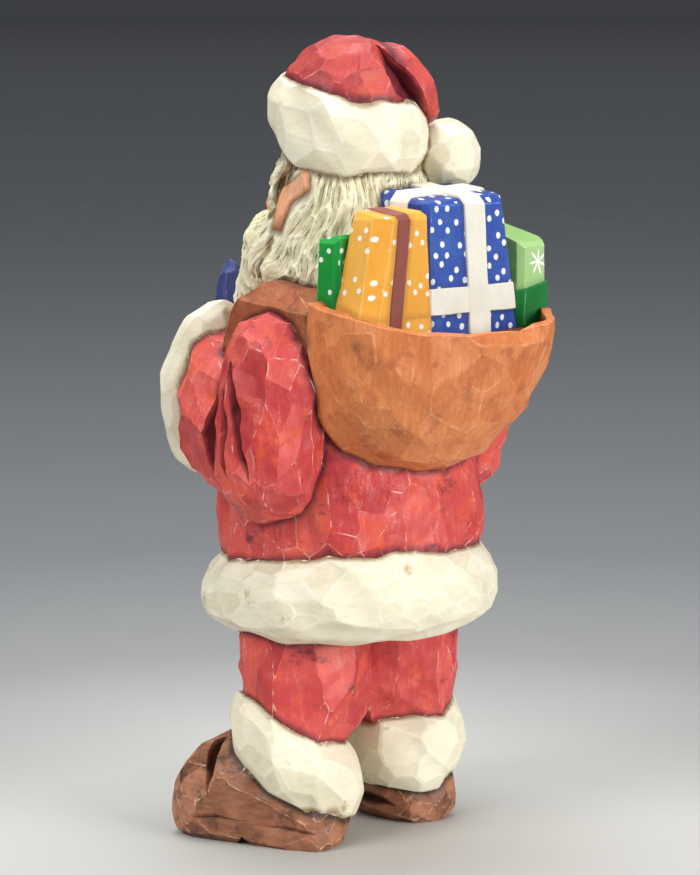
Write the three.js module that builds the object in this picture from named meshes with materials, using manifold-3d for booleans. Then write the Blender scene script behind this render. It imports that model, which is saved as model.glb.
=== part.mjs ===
// A folk-carved Santa about 250 mm tall, whittled from one block of basswood and painted.
// He stands in two chunky boots and carries a round-bottomed pack full of parcels on his back.
// Millimetres, +Z up. He faces -Y, and his left hand is on the +X side.
import * as THREE from "three";
import { ConvexGeometry } from "three/addons/geometries/ConvexGeometry.js";
import { mergeVertices } from "three/addons/utils/BufferGeometryUtils.js";
import Module from "manifold-3d";

const wasm = await Module();
wasm.setup();

// Driving dimensions
const HAT_TOP = 250;
const HEM_Z = 80.4;
const HEM_RADIUS = [46.6, 46];
const HEM_TURN = [1.8, 1, 0];
const COAT_RADIUS = [41.6, 40.6];
const BRIM_Z = 223.4;
const BRIM_SIZE = [24.5, 24.5, 12.8];
const BRIM_SLOPE = -0.24;
const LEG_X = 22.8;
const LEG_RADIUS = 16.4;
const TROUSER_CUFF_Z = 26.6;
const TROUSER_CUFF_SIZE = [19.4, 19.4, 12.8];
const LEFT_CUFF_SHIFT = [0.8, -0.8];
const LEFT_CUFF_SLOPE = [0.38, -0.4];
const RIGHT_CUFF_SLOPE = [-0.14, -0.17];
const FOOT_AT = [28.8, -10.6];
const FOOT_SPLAY = 16.5;
const SHOULDER = [38, 6.5, 154];
const ELBOW = [41.3, 6, 121];
const WRIST = [30.5, -25, 139];
const SLEEVE_CUFF_SIZE = [29, 17.6, 5.6];
const PACK_AT = [-1, 22];
const PACK_FRONT_Y = 24;
const PACK_RIM_Z = 172.5;
const PACK_RIM_SLOPE = 0.245;
const PACK_SIZE = [45, 43];
const PACK_WALL = 3;
const PACK_MOUTH_DEPTH = 6;
const PARCEL_FOOT_Z = 160;

// One paint for each colour on the carving
const paint = (colour, roughness) =>
  new THREE.MeshStandardMaterial({ color: colour, roughness, metalness: 0 });
const paints = {
  coat: paint(0xc8343a, 0.62),
  fur: paint(0xefe6cf, 0.68),
  hair: paint(0xe4dfc6, 0.72),
  skin: paint(0xd98a66, 0.6),
  pack: paint(0xb8683c, 0.6),
  boots: paint(0x7a4327, 0.55),
  mittens: paint(0x3c4a86, 0.6),
  eyes: paint(0x2b2a2c, 0.4),
  orange: paint(0xe79a26, 0.5),
  maroon: paint(0x96503c, 0.5),
  blue: paint(0x2a4aa3, 0.5),
  green: paint(0x1f9a3a, 0.5),
  lime: paint(0x86bb59, 0.5),
};
const paintNames = Object.keys(paints);
const paintOfSurface = new Map();

// A repeatable number from -1 to 1 for one knife stroke
function wobble(seed, stroke) {
  const x = Math.sin(seed * 78.233 + stroke * 12.9898) * 43758.5453;
  return 2 * (x - Math.floor(x)) - 1;
}

const { union } = wasm.Manifold;
const vec = (p) => new THREE.Vector3(...p);
const radians = THREE.MathUtils.degToRad;
const mirrored = (point, side) => [point[0] * side, point[1], point[2]];

function solidOf(geometry) {
  const bare = geometry.clone();
  bare.deleteAttribute("normal");
  bare.deleteAttribute("uv");
  const merged = mergeVertices(bare, 1e-4);
  return new wasm.Manifold(
    new wasm.Mesh({
      numProp: 3,
      vertProperties: merged.attributes.position.array,
      triVerts: new Uint32Array(merged.index.array),
    }),
  );
}

// How far a rounded lump reaches in the direction n. Both powers at 2 give an ellipsoid. A higher
// plan power squares it off seen from above, and a higher section power seen from the side.
function reachOf({ at, size, plan = 2, section = 2 }, n) {
  const [x, y, z] = size.map((radius, i) => Math.abs(radius * n.getComponent(i)));
  const norm = (a, b, power) => (a ** power + b ** power) ** (1 / power);
  const round = norm(x, y, plan / (plan - 1));
  return norm(round, z, section / (section - 1)) + n.dot(vec(at));
}

// Whittles the convex form that wraps some lumps: each knife stroke leaves one flat facet.
// rows holds [elevation of the facets in degrees, strokes round the form], about the form's axis.
function whittle({ seed, lumps, rows, axis = [0, 0, 1], depth = 0.5, waver = 5 }) {
  const toAxis = new THREE.Quaternion().setFromUnitVectors(vec([0, 0, 1]), vec(axis).normalize());
  let block = solidOf(new THREE.BoxGeometry(600, 600, 600));
  let stroke = 0;
  [[-90, 1], ...rows, [90, 1]].forEach(([elevation, strokes], row) => {
    for (let i = 0; i < strokes; i++) {
      stroke += 1;
      const loose = strokes > 1 ? 1 : 0;
      const turn = ((i + row / 2 + 0.3 * loose * wobble(seed, stroke)) / strokes) * 2 * Math.PI;
      const tilt = radians(elevation + waver * loose * wobble(seed, stroke + 500));
      const n = new THREE.Vector3(
        Math.cos(turn) * Math.cos(tilt),
        Math.sin(turn) * Math.cos(tilt),
        Math.sin(tilt),
      ).applyQuaternion(toAxis);
      const reach = Math.max(...lumps.map((lump) => reachOf(lump, n)));
      const cut = reach - depth * (0.5 + 0.5 * wobble(seed, stroke + 900)) * loose;
      block = block.trimByPlane([-n.x, -n.y, -n.z], -cut);
    }
  });
  return block;
}

function placed(solid, at, turn = [0, 0, 0]) {
  const matrix = new THREE.Matrix4().makeRotationFromEuler(new THREE.Euler(...turn.map(radians)));
  return solid.transform(matrix.setPosition(...at).elements);
}

// Lifts each point by its x and y times the slopes, which keeps upright sides upright
const sheared = (solid, [slopeX, slopeY]) =>
  solid.transform(new THREE.Matrix4().makeShear(0, slopeX, 0, slopeY, 0, 0).elements);

// Cuts along the plane through a point and keeps what lies behind the normal
function sliced(solid, normal, point) {
  const n = vec(normal).normalize();
  return solid.trimByPlane([-n.x, -n.y, -n.z], -n.dot(vec(point)));
}

// A band of carved fur: a drum with worn corners
const band = (seed, size, strokes, section = 4.5) =>
  whittle({
    seed,
    lumps: [{ at: [0, 0, 0], size, section }],
    rows: [[-54, strokes - 2], [-13, strokes], [12, strokes], [52, strokes - 2]],
    depth: 0.6,
  });

const pebble = (seed, at, size, strokes = 8) =>
  whittle({
    seed,
    lumps: [{ at, size }],
    rows: [[-58, strokes - 2], [-24, strokes + 1], [8, strokes + 2], [38, strokes], [68, strokes - 3]],
    depth: 0.3,
  });

// One V cut of the knife along the chord between two points of the surface. It runs out to
// nothing at both ends, and opens wider where the surface bulges over the chord.
function notch({ from, to, out, width, depth, lift = 5 }) {
  const [start, end] = [vec(from), vec(to)];
  const along = end.clone().sub(start);
  const across = vec(out).cross(along).normalize();
  const up = along.clone().cross(across).normalize();
  const middle = start.clone().lerp(end, 0.5);
  const at = (point, sideways, outwards) =>
    point.clone().addScaledVector(across, sideways).addScaledVector(up, outwards);
  const half = width / 2;
  const flare = half * (1 + lift / depth);
  return solidOf(new ConvexGeometry([
    start,
    end,
    at(middle, 0, -depth),
    at(middle, half, 0),
    at(middle, -half, 0),
    at(start, 0, lift),
    at(end, 0, lift),
    at(middle, flare, lift),
    at(middle, -flare, lift),
  ]));
}

// One straight V channel of even depth, whose floor runs between two points inside the wood
function channel({ from, to, out, spread, lift = 12 }) {
  const [start, end] = [vec(from), vec(to)];
  const across = vec(out).cross(end.clone().sub(start)).normalize().multiplyScalar(lift * spread);
  const up = vec(out).normalize().multiplyScalar(lift);
  const rims = [start, end].flatMap((point) => [
    point.clone().add(up).add(across),
    point.clone().add(up).sub(across),
  ]);
  return solidOf(new ConvexGeometry([start, end, ...rims]));
}

const carved = [];
const finished = [];
const cuts = [];
function add(paintName, solid, list = carved) {
  const surface = solid.asOriginal();
  paintOfSurface.set(surface.originalID(), paintNames.indexOf(paintName));
  list.push(surface);
}

// A cut shows the paint of what it cuts into
const cut = (paintName, blade) => add(paintName, notch(blade), cuts);

function carveLeg(side) {
  add("coat", whittle({
    seed: 11 + side,
    lumps: [
      { at: [(LEG_X - 1) * side, 0, 72], size: [LEG_RADIUS + 1, LEG_RADIUS + 1, 6] },
      { at: [12 * side, 3, 73], size: [15, 15, 6] },
      { at: [LEG_X * side, 1, 38], size: [LEG_RADIUS - 0.5, LEG_RADIUS - 0.5, 12] },
    ],
    rows: [[-60, 6], [-10, 9], [4, 11], [30, 6]],
  }));
  const cuff = band(21 + side, TROUSER_CUFF_SIZE, 11, 7);
  const slope = side > 0 ? LEFT_CUFF_SLOPE : RIGHT_CUFF_SLOPE;
  const shift = side > 0 ? LEFT_CUFF_SHIFT : [0, 0];
  add("fur", placed(sheared(cuff, slope), [LEG_X * side + shift[0], 0.5 + shift[1], TROUSER_CUFF_Z]));
}

function carveBoot(side) {
  const boot = whittle({
    seed: 31 + side,
    lumps: [
      { at: [0, -14.5, 12], size: [14, 14, 15.5], plan: 2.3, section: 2.5 },
      { at: [0, -5, 18], size: [12.5, 12, 17], plan: 2.2 },
      { at: [0, 15.5, 8], size: [12.8, 13.3, 13], plan: 2.6, section: 2.4 },
      { at: [0, -14, 3.5], size: [15, 15, 5], plan: 2.3, section: 2.4 },
    ],
    rows: [[-50, 12], [-6, 14], [16, 13], [42, 10], [68, 6]],
  });
  // The waist of the sole, the crease over the vamp, and the groove above the sole
  const gouged = [channel({ from: [-30, 0, 3], to: [30, 0, 3], out: [0, 0, -1], spread: 1 })];
  for (const flank of [1, -1]) {
    gouged.push(
      channel({
        from: [1.5 * flank, -12.5, 27.5],
        to: [17 * flank, -10.5, 13.5],
        out: [flank, 0, 1.2],
        spread: 0.45,
      }),
      notch({
        from: [15 * flank, -25, 7.6],
        to: [13.6 * flank, 5, 8.6],
        out: [flank, 0, 0.1],
        width: 1.4,
        depth: 1,
      }),
      notch({
        from: [14.5 * flank, 1, 7.4],
        to: [10 * flank, 28, 5.6],
        out: [flank, 0.2, 0.1],
        width: 1.4,
        depth: 1,
      }),
    );
  }
  const shaped = sliced(boot, [0, 0, -1], [0, 0, 0]).subtract(union(gouged));
  add("boots", placed(shaped, [FOOT_AT[0] * side, FOOT_AT[1], 0], [0, 0, FOOT_SPLAY * side]));
}

// The coat swelled by some allowance, so that the fur down its front follows it
const coatBody = (allowance) =>
  whittle({
    seed: 42,
    lumps: [
      { at: [0, 0, 92], size: [COAT_RADIUS[0] + allowance, COAT_RADIUS[1] + allowance, 5] },
      { at: [0, -1, 118], size: [41 + allowance, 40 + allowance, 14] },
      { at: [0, 2, 154], size: [36 + allowance, 26 + allowance, 17] },
    ],
    rows: [[-18, 14], [-5, 17], [5, 17], [15, 17], [25, 15], [42, 12], [65, 7]],
    depth: 0.8,
  });

function carveCoat() {
  const hem = whittle({
    seed: 44,
    lumps: [
      { at: [0, 0, 9], size: [...COAT_RADIUS, 6] },
      { at: [4, 8, 12.6], size: [36, 33, 4] },
      { at: [0, 0, -2.2], size: [...HEM_RADIUS, 12.6], section: 4.5 },
    ],
    rows: [[-62, 13], [-32, 15], [-8, 17], [12, 18], [36, 16], [62, 12]],
    depth: 0.7,
  });
  add("fur", placed(hem, [0, 0, HEM_Z], HEM_TURN));
  add("coat", coatBody(0));
  const panel = new THREE.BoxGeometry(15, 60, 78);
  panel.translate(0, -30, 124);
  add("fur", coatBody(1.8).intersect(solidOf(panel)));
}

function carveArm(side) {
  const shoulder = mirrored(SHOULDER, side);
  const elbow = mirrored(ELBOW, side);
  const wrist = mirrored(WRIST, side);
  add("coat", whittle({
    seed: 51 + side,
    lumps: [
      { at: shoulder, size: [16.5, 17, 14] },
      { at: elbow, size: [17, 17.5, 17.5] },
    ],
    rows: [[-68, 5], [-40, 9], [-16, 10], [-2, 11], [12, 10], [36, 9], [62, 6]],
    depth: 0.7,
  }));
  add("coat", whittle({
    seed: 61 + side,
    lumps: [
      { at: [elbow[0] - 1.5 * side, elbow[1] - 2, elbow[2] + 1], size: [14, 14, 16] },
      { at: [wrist[0], wrist[1], wrist[2] - 2], size: [17.5, 6, 24.5] },
      { at: [wrist[0] - side, wrist[1] - 4, wrist[2] - 1], size: [17, 4, 24.5] },
      { at: [wrist[0] + 6 * side, wrist[1] + 8, wrist[2] - 20], size: [10.5, 6, 8.5] },
    ],
    axis: [-0.2 * side, -0.95, 0.25],
    rows: [[-60, 7], [-28, 10], [-10, 11], [4, 12], [60, 6]],
    depth: 0.7,
  }));
  const along = vec([-0.33 * side, -0.92, 0.2]).normalize();
  const across = vec([0, 0, 1]).cross(along).normalize();
  const upright = along.clone().cross(across);
  const frame = new THREE.Matrix4().makeBasis(upright, across.negate(), along);
  frame.setPosition(wrist[0] - 1.5 * side, wrist[1] - 6.5, wrist[2] + 1.5);
  add("fur", band(71 + side, SLEEVE_CUFF_SIZE, 13, 3.2).transform(frame.elements));

  // Folds cut in behind the elbow and along the sleeve
  const folds = [
    { from: [49, -6, 163], to: [48, -11, 106], out: [0.9, 0.05, 0], width: 5, depth: 6.5 },
    { from: [54.5, 0.5, 160], to: [56, 12, 118], out: [1, 0.1, 0], width: 3.6, depth: 3.8 },
    { from: [54, -1, 150], to: [56, 4, 118], out: [1, 0, 0], width: 2.2, depth: 2 },
  ];
  for (const { from, to, out, ...blade } of folds) {
    const [start, end, away] = [from, to, out].map((point) => mirrored(point, side));
    cut("coat", { from: start, to: end, out: away, ...blade });
  }
}

// Both mittens meet in front of the beard with their thumbs raised
function carveMittens() {
  for (const side of [1, -1]) {
    const palm = [
      { at: [24 * side, -37, 142], size: [10, 8, 14] },
      { at: [7 * side, -45, 152], size: [8, 6.5, 11] },
    ];
    const thumb = [
      { at: [7 * side, -46, 160], size: [5, 4.6, 5] },
      { at: [4.6 * side, -48, 174.6], size: [4.2, 4, 4.4] },
    ];
    const rows = [[-60, 5], [-20, 8], [10, 9], [45, 7]];
    add("mittens", whittle({ seed: 81 + 3 * side, lumps: palm, rows }));
    add("mittens", whittle({ seed: 82 + 3 * side, lumps: thumb, rows }));
  }
}

// A point on the hair or the beard: rings stacked from top to bottom, each { at, size }
function onRings(rings, height, turn) {
  const place = THREE.MathUtils.clamp(height, 0, 0.999) * (rings.length - 1);
  const i = Math.floor(place);
  const [upper, lower] = [rings[i], rings[i + 1]];
  const mix = (a, b) => THREE.MathUtils.lerp(a, b, place - i);
  return [
    mix(upper.at[0], lower.at[0]) + mix(upper.size[0], lower.size[0]) * Math.cos(turn),
    mix(upper.at[1], lower.at[1]) + mix(upper.size[1], lower.size[1]) * Math.sin(turn),
    mix(upper.at[2], lower.at[2]),
  ];
}

// Locks: long V cuts that run down the hair, in rows that overlap like flames
function carveLocks(rings, { rows, turns, seed, spacing, width, depth }) {
  const [first, last] = turns;
  const count = Math.round((last - first) / spacing);
  for (let row = 0; row < rows; row++) {
    for (let i = 0; i < count; i++) {
      const k = seed + row * 40 + i;
      const turn = first + ((last - first) * (i + 0.5 * (row % 2) + 0.2 * wobble(k, 1))) / count;
      const top = (row - 0.2 + 0.14 * wobble(k, 2)) / rows;
      const bottom = (row + 1.15 + 0.16 * wobble(k, 3)) / rows;
      const lean = 0.06 * wobble(k, 4);
      cut("hair", {
        from: onRings(rings, top, turn - lean),
        to: onRings(rings, bottom, turn + lean),
        out: [Math.cos(turn), Math.sin(turn), 0.1],
        width: width * (1 + 0.3 * wobble(k, 5)),
        depth: depth * (1 + 0.25 * wobble(k, 6)),
        lift: 3,
      });
    }
  }
}

function carveFace() {
  add("skin", pebble(91, [0, -5, 204], [19.2, 18.6, 22], 10));
  add("skin", pebble(92, [0, -27.8, 198.5], [4.3, 5.9, 4.4]), finished);
  for (const side of [1, -1]) {
    add("skin", pebble(93 + side, [8.6 * side, -18.6, 198.5], [6.4, 5.2, 5.6]));
    add("hair", pebble(89 + side, [18 * side, -9.5, 203], [4.4, 6, 8]), finished);
    add("eyes", pebble(95 + side, [7.6 * side, -22.6, 205], [2.5, 2.2, 1.9], 6));
    const rows = [[-60, 5], [-20, 8], [15, 9], [50, 6]];
    add("hair", whittle({
      seed: 97 + side,
      lumps: [
        { at: [3 * side, -30, 191], size: [4, 5, 4] },
        { at: [16 * side, -25, 186.5], size: [4, 4, 4] },
      ],
      rows,
    }));
    add("hair", whittle({
      seed: 99 + side,
      lumps: [
        { at: [3.6 * side, -22.8, 209.6], size: [2.2, 2, 1.6] },
        { at: [10.6 * side, -20, 208.8], size: [2.2, 2, 1.8] },
      ],
      rows,
    }));
    add("skin", whittle({
      seed: 101 + side,
      lumps: [
        { at: [21.9 * side, 2.3, 204.3], size: [2.9, 2.7, 5.2] },
        { at: [24.2 * side, -7, 190.2], size: [2.4, 2, 3.2] },
      ],
      rows,
    }), finished);
  }
}

function carveHair() {
  const crown = [
    { at: [0, 1, 209], size: [21.5, 20.5, 8] },
    { at: [0, 3, 191], size: [25, 22, 8] },
    { at: [0, 5, 175.5], size: [30.5, 23, 9.5] },
  ];
  const whiskers = [
    { at: [0, -4.5, 210], size: [20.5, 17.5, 9] },
    { at: [0, -8.5, 198], size: [20.3, 16.3, 6] },
  ];
  const beard = [
    { at: [0, -16, 190], size: [21, 15, 6] },
    { at: [0, -22, 180], size: [20, 14.5, 8] },
    { at: [0, -32, 165], size: [14, 12.5, 8] },
  ];
  const rows = [[-65, 7], [-30, 12], [-10, 14], [8, 15], [25, 12], [60, 8]];
  add("hair", whittle({ seed: 103, lumps: crown, rows }));
  add("hair", whittle({ seed: 104, lumps: whiskers, rows }));
  add("hair", whittle({ seed: 105, lumps: beard, rows }));
  for (const side of [1, -1]) {
    const fall = [
      { at: [18.5 * side, -7, 192], size: [5, 7, 8] },
      { at: [22.5 * side, -10, 181], size: [8.5, 9, 7] },
      { at: [14 * side, 3, 177], size: [17, 16, 9.5] },
    ];
    add("hair", whittle({ seed: 107 + side, lumps: fall, rows }));
  }
  const blade = { rows: 2, spacing: 0.2, width: 3.2, depth: 1.7 };
  carveLocks(crown, { turns: [0.24, Math.PI - 0.24], seed: 300, ...blade });
  carveLocks(beard, { turns: [-Math.PI - 0.15, 0.15], seed: 500, ...blade });
}

function carveHat() {
  const brim = whittle({
    seed: 111,
    lumps: [
      { at: [0, -0.5, 0], size: BRIM_SIZE, section: 5 },
      { at: [0, 0.8, -3], size: [BRIM_SIZE[0], BRIM_SIZE[1], BRIM_SIZE[2] - 3], section: 3 },
      { at: [6, 2, -7.4], size: [18, 18, 9.8], section: 3 },
    ],
    rows: [[-58, 9], [-12, 11], [9, 12], [56, 10]],
    depth: 0.6,
  });
  add("fur", placed(sheared(brim, [0, BRIM_SLOPE]), [0, 0, BRIM_Z]));
  add("coat", whittle({
    seed: 112,
    lumps: [{ at: [0, -0.5, HAT_TOP - 20], size: [20.6, 20.6, 20], section: 2.3 }],
    rows: [[-30, 8], [6, 11], [26, 11], [46, 9], [66, 6]],
  }));
  const tail = [
    { at: [-6.5, 7.5, 240], size: [8, 8.5, 8.8], section: 2.4 },
    { at: [-12.6, 14.6, 236], size: [6.4, 7.4, 7.4] },
    { at: [-15.6, 18.2, 226], size: [4.6, 5.2, 4.6] },
  ];
  const rows = [[-45, 6], [0, 10], [24, 9], [48, 8], [70, 5]];
  add("coat", whittle({ seed: 113, lumps: tail, rows }));
  add("fur", pebble(117, [-25, 16.8, 212.9], [11.3, 11.3, 12]));
  cut("coat", {
    from: [3, 10, 252],
    to: [-15.6, 25.6, 219],
    out: [0.62, 0.78, 0.2],
    width: 6.4,
    depth: 5.5,
  });
}

// Broad straps that come over the shoulders and down the chest
function carveStraps() {
  const outline = [
    [26, 160], [24, 169], [14, 174.5], [2, 176.5], [-5.5, 174.5], [-12, 165.5], [-20, 146],
    [-8, 140], [20, 150],
  ];
  const arch = new THREE.ExtrudeGeometry(
    new THREE.Shape(outline.map(([y, z]) => new THREE.Vector2(y, z))),
    { depth: 15, bevelEnabled: false },
  );
  arch.translate(0, 0, -7.5);
  arch.rotateX(Math.PI / 2);
  arch.rotateZ(Math.PI / 2);
  for (const side of [1, -1]) {
    const strap = placed(solidOf(arch), [33.5 * side, 0, 0], [0, 0, -4 * side]);
    add("pack", sliced(strap, [0.75 * side, 0, 0.66], [36.5 * side, 0, 175]));
  }
}

// An upright prism inside the wall of the pack
function insidePack(inset) {
  const size = [PACK_SIZE[0] - inset, PACK_SIZE[1] - inset, 60];
  const lumps = [{ at: [...PACK_AT, PACK_RIM_Z], size, plan: 2.5 }];
  return whittle({ seed: 122, lumps, rows: [[0, 18]], depth: 0.3, waver: 0 });
}

function carvePack() {
  const [x, y] = PACK_AT;
  const slope = [0, PACK_RIM_SLOPE, 1];
  const lumps = [
    { at: [x, y, PACK_RIM_Z - 4], size: [...PACK_SIZE, 14], plan: 2.5 },
    { at: [x, y, 151], size: [PACK_SIZE[0] - 1, PACK_SIZE[1] - 2.5, 18], plan: 2.4 },
    { at: [x + 3, y + 4, 134.5], size: [32, 28, 18] },
  ];
  const rows = [[-74, 5], [-54, 10], [-37, 13], [-19, 15], [-4, 17], [10, 16]];
  let pouch = whittle({ seed: 121, lumps, rows, depth: 0.9 });
  pouch = sliced(pouch, [0, -1, 0], [x, PACK_FRONT_Y, 0]);
  pouch = sliced(pouch, slope, [x, y, PACK_RIM_Z]);
  let hollow = sliced(insidePack(PACK_WALL + 0.6), [0, -1, 0], [x, PACK_FRONT_Y + PACK_WALL, 0]);
  hollow = sliced(hollow, slope.map((n) => -n), [x, y, PACK_RIM_Z - PACK_MOUTH_DEPTH]);
  add("pack", pouch.subtract(hollow));
}

// A parcel wrapped as a box. x and y hold its sides at the height z, each with its own lean
// inwards, and its lid leans by the slopes. Bevel is the cut off its corner at the back left.
// Swell moves every face out for a ribbon.
function parcel({ seed, x, y, z, lean, slopes, bevel = 1.1, swell = 0 }) {
  const middle = vec([(x[0] + x[1]) / 2, (y[0] + y[1]) / 2, z]);
  const lidAt = (px, py) => z + slopes[0] * (px - middle.x) + slopes[1] * (py - middle.y);
  const sides = [
    { out: [1, 0], at: [x[1], middle.y], corner: [x[1], y[0]] },
    { out: [0, 1], at: [middle.x, y[1]], corner: [x[1], y[1]] },
    { out: [-1, 0], at: [x[0], middle.y], corner: [x[0], y[1]] },
    { out: [0, -1], at: [middle.x, y[0]], corner: [x[0], y[0]] },
  ];
  let box = solidOf(new THREE.BoxGeometry(600, 600, 600));
  const shave = (n, at, depth = 0) => {
    const outward = vec(n).normalize().multiplyScalar(swell - depth);
    box = sliced(box, n, vec(at).add(outward).toArray());
  };
  shave([0, 0, -1], [0, 0, PARCEL_FOOT_Z]);
  shave([-slopes[0], -slopes[1], 1], middle.toArray());
  sides.forEach(({ out, at, corner }, i) => {
    const skew = 0.025 * wobble(seed, i);
    shave([out[0] - skew * out[1], out[1] + skew * out[0], lean[i]], [...at, z]);
    shave([...out, 1], [...at, lidAt(...at)], 0.9 + 0.4 * wobble(seed, i + 30));
    const last = (i + 3) % 4;
    const between = [out[0] + sides[last].out[0], out[1] + sides[last].out[1], lean[i] + lean[last]];
    const size = i === 1 ? bevel : 1.1;
    shave(between, [...corner, z], size * (1 + 0.3 * wobble(seed, i + 20)));
  });
  return box;
}

function carveParcels() {
  const parcels = [
    {
      paintName: "orange",
      box: {
        x: [12, 31.2],
        y: [30.8, 44.4],
        z: 198.5,
        lean: [0.22, 0.03, 0.03, 0.09],
        slopes: [-0.08, -0.14],
        bevel: 2.8,
      },
      ribbons: [
        { paintName: "maroon", across: [1, 0, 0.147], at: [22.6, 44, 197], width: 5.4, swell: 0.3 },
      ],
    },
    {
      paintName: "blue",
      box: {
        x: [-23.2, 11.5],
        y: [22, 43.2],
        z: 203,
        lean: [0.05, 0.06, 0.13, 0.04],
        slopes: [-0.03, -0.16],
      },
      ribbons: [
        { paintName: "fur", across: [1, 0.08, 0], at: [-8.9, 43, 201], width: 8.8, swell: 0.8 },
        { paintName: "fur", across: [0, 1, 0], at: [0, 32, 203], width: 7.4, swell: 0.7 },
        { paintName: "fur", across: [0, 0, 1], at: [0, 43, 171], width: 8, swell: 0.6 },
      ],
    },
    {
      paintName: "green",
      box: {
        x: [22, 37],
        y: [21.4, 30.4],
        z: 191,
        lean: [0.04, 0.02, 0, 0.03],
        slopes: [0, 0.2],
      },
      ribbons: [],
    },
    {
      paintName: "lime",
      box: {
        x: [-42.2, -28.5],
        y: [29, 45.6],
        z: 189.5,
        lean: [0.02, 0.02, -0.03, 0.03],
        slopes: [0, -0.36],
      },
      ribbons: [
        { paintName: "green", across: [0.2, 0, 1], at: [-35, 45, 167.6], width: 12, swell: 0.6 },
      ],
    },
  ];
  parcels.forEach(({ paintName, box, ribbons }, i) => {
    const wrapped = (swell) => parcel({ seed: 131 + i, ...box, swell }).intersect(insidePack(1.4));
    add(paintName, wrapped(0), finished);
    for (const { paintName: ribbonPaint, across, at, width, swell } of ribbons) {
      const step = vec(across).normalize().multiplyScalar(width / 2);
      const onePart = sliced(wrapped(swell), across, vec(at).add(step).toArray());
      const back = across.map((value) => -value);
      add(ribbonPaint, sliced(onePart, back, vec(at).sub(step).toArray()), finished);
    }
  });
}

carveCoat();
for (const side of [1, -1]) {
  carveLeg(side);
  carveBoot(side);
  carveArm(side);
}
carveMittens();
carveFace();
carveHair();
carveHat();
carvePack();
carveStraps();
carveParcels();

const standing = union([union(carved).subtract(union(cuts)), ...finished]);
const { min, max } = standing.boundingBox();
const figure = standing.translate([-(min[0] + max[0]) / 2, -(min[1] + max[1]) / 2, -min[2]]);

function meshOf(solid, name) {
  const made = solid.getMesh();
  const geometry = new THREE.BufferGeometry();
  geometry.setAttribute("position", new THREE.BufferAttribute(made.vertProperties, 3));
  geometry.setIndex(new THREE.BufferAttribute(made.triVerts, 1));
  for (let run = 0; run < made.runOriginalID.length; run++) {
    const start = made.runIndex[run];
    const surface = paintOfSurface.get(made.runOriginalID[run]) ?? paintNames.indexOf("coat");
    geometry.addGroup(start, made.runIndex[run + 1] - start, surface);
  }
  const mesh = new THREE.Mesh(geometry, Object.values(paints));
  mesh.name = name;
  return mesh;
}

const santa = new THREE.Group();
santa.add(meshOf(figure, "santa_figure"));

export default santa;
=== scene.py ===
import math

import bmesh
import bpy
import numpy as np
from mathutils import Matrix, Vector


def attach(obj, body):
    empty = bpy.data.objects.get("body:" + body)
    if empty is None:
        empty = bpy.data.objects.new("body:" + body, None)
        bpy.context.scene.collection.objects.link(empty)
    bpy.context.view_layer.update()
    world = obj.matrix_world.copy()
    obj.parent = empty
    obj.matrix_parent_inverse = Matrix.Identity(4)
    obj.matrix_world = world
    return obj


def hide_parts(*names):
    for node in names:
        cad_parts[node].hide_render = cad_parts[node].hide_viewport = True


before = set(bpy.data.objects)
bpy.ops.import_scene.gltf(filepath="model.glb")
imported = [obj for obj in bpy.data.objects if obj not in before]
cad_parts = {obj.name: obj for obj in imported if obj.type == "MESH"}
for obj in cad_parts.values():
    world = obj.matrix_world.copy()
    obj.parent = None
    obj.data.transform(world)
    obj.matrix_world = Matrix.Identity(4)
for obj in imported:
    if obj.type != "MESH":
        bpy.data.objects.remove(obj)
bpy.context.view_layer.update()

# Everything is carved in millimetres about the point between the boots, then moved by SHIFT so
# that the figure stands over the middle of its box.
SHIFT = np.array([0.56685, -5.5855, 0.0])
NODE = "santa_figure"

# Driving dimensions, as in the solid
HAT_TOP = 250
HEM_Z = 80.4
HEM_RADIUS = (46.6, 46)
HEM_TURN = (1.8, 1, 0)
COAT_RADIUS = (41.6, 40.6)
BRIM_Z = 223.4
BRIM_SIZE = (24.5, 24.5, 12.8)
BRIM_SLOPE = -0.24
LEG_X = 22.8
LEG_RADIUS = 16.4
TROUSER_CUFF_Z = 26.6
TROUSER_CUFF_SIZE = (19.4, 19.4, 12.8)
LEFT_CUFF_SHIFT = (0.8, -0.8)
LEFT_CUFF_SLOPE = (0.38, -0.4)
RIGHT_CUFF_SLOPE = (-0.14, -0.17)
FOOT_AT = (28.8, -10.6)
FOOT_SPLAY = 16.5
SHOULDER = (38, 6.5, 154)
ELBOW = (41.3, 6, 121)
WRIST = (30.5, -25, 139)
SLEEVE_CUFF_SIZE = (29, 17.6, 5.6)
PACK_AT = (-1, 22)
PACK_FRONT_Y = 24
PACK_RIM_Z = 172.5
PACK_RIM_SLOPE = 0.245
PACK_SIZE = (45, 43)
PACK_WALL = 3
PACK_MOUTH_DEPTH = 6
PARCEL_FOOT_Z = 160

# The work itself, in millimetres, and in degrees for the crease
RAW_BLOCK = 600  # what each form is pared from
LONGEST_EDGE = 1.95
HAIR_GRAIN = 0.46
HAIR_CREASE = 34
BEND = 0.5  # how far the whole is bent out of true
WAVER = 0.45  # how much the edges of the large pieces waver besides
SHADE_AND_ANTIQUING_REACH = 3.2  # how far from a crevice the painted shade and antiquing reach
FAR = 9.0  # farther than any mark reaches


def wobble(seed, stroke):
    """A repeatable number from -1 to 1 for one knife stroke."""
    x = math.sin(seed * 78.233 + stroke * 12.9898) * 43758.5453
    return 2 * (x - math.floor(x)) - 1


def mirrored(point, side):
    return (point[0] * side, point[1], point[2])


def unit(vector):
    vector = np.array(vector, float)
    return vector / np.linalg.norm(vector)


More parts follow.
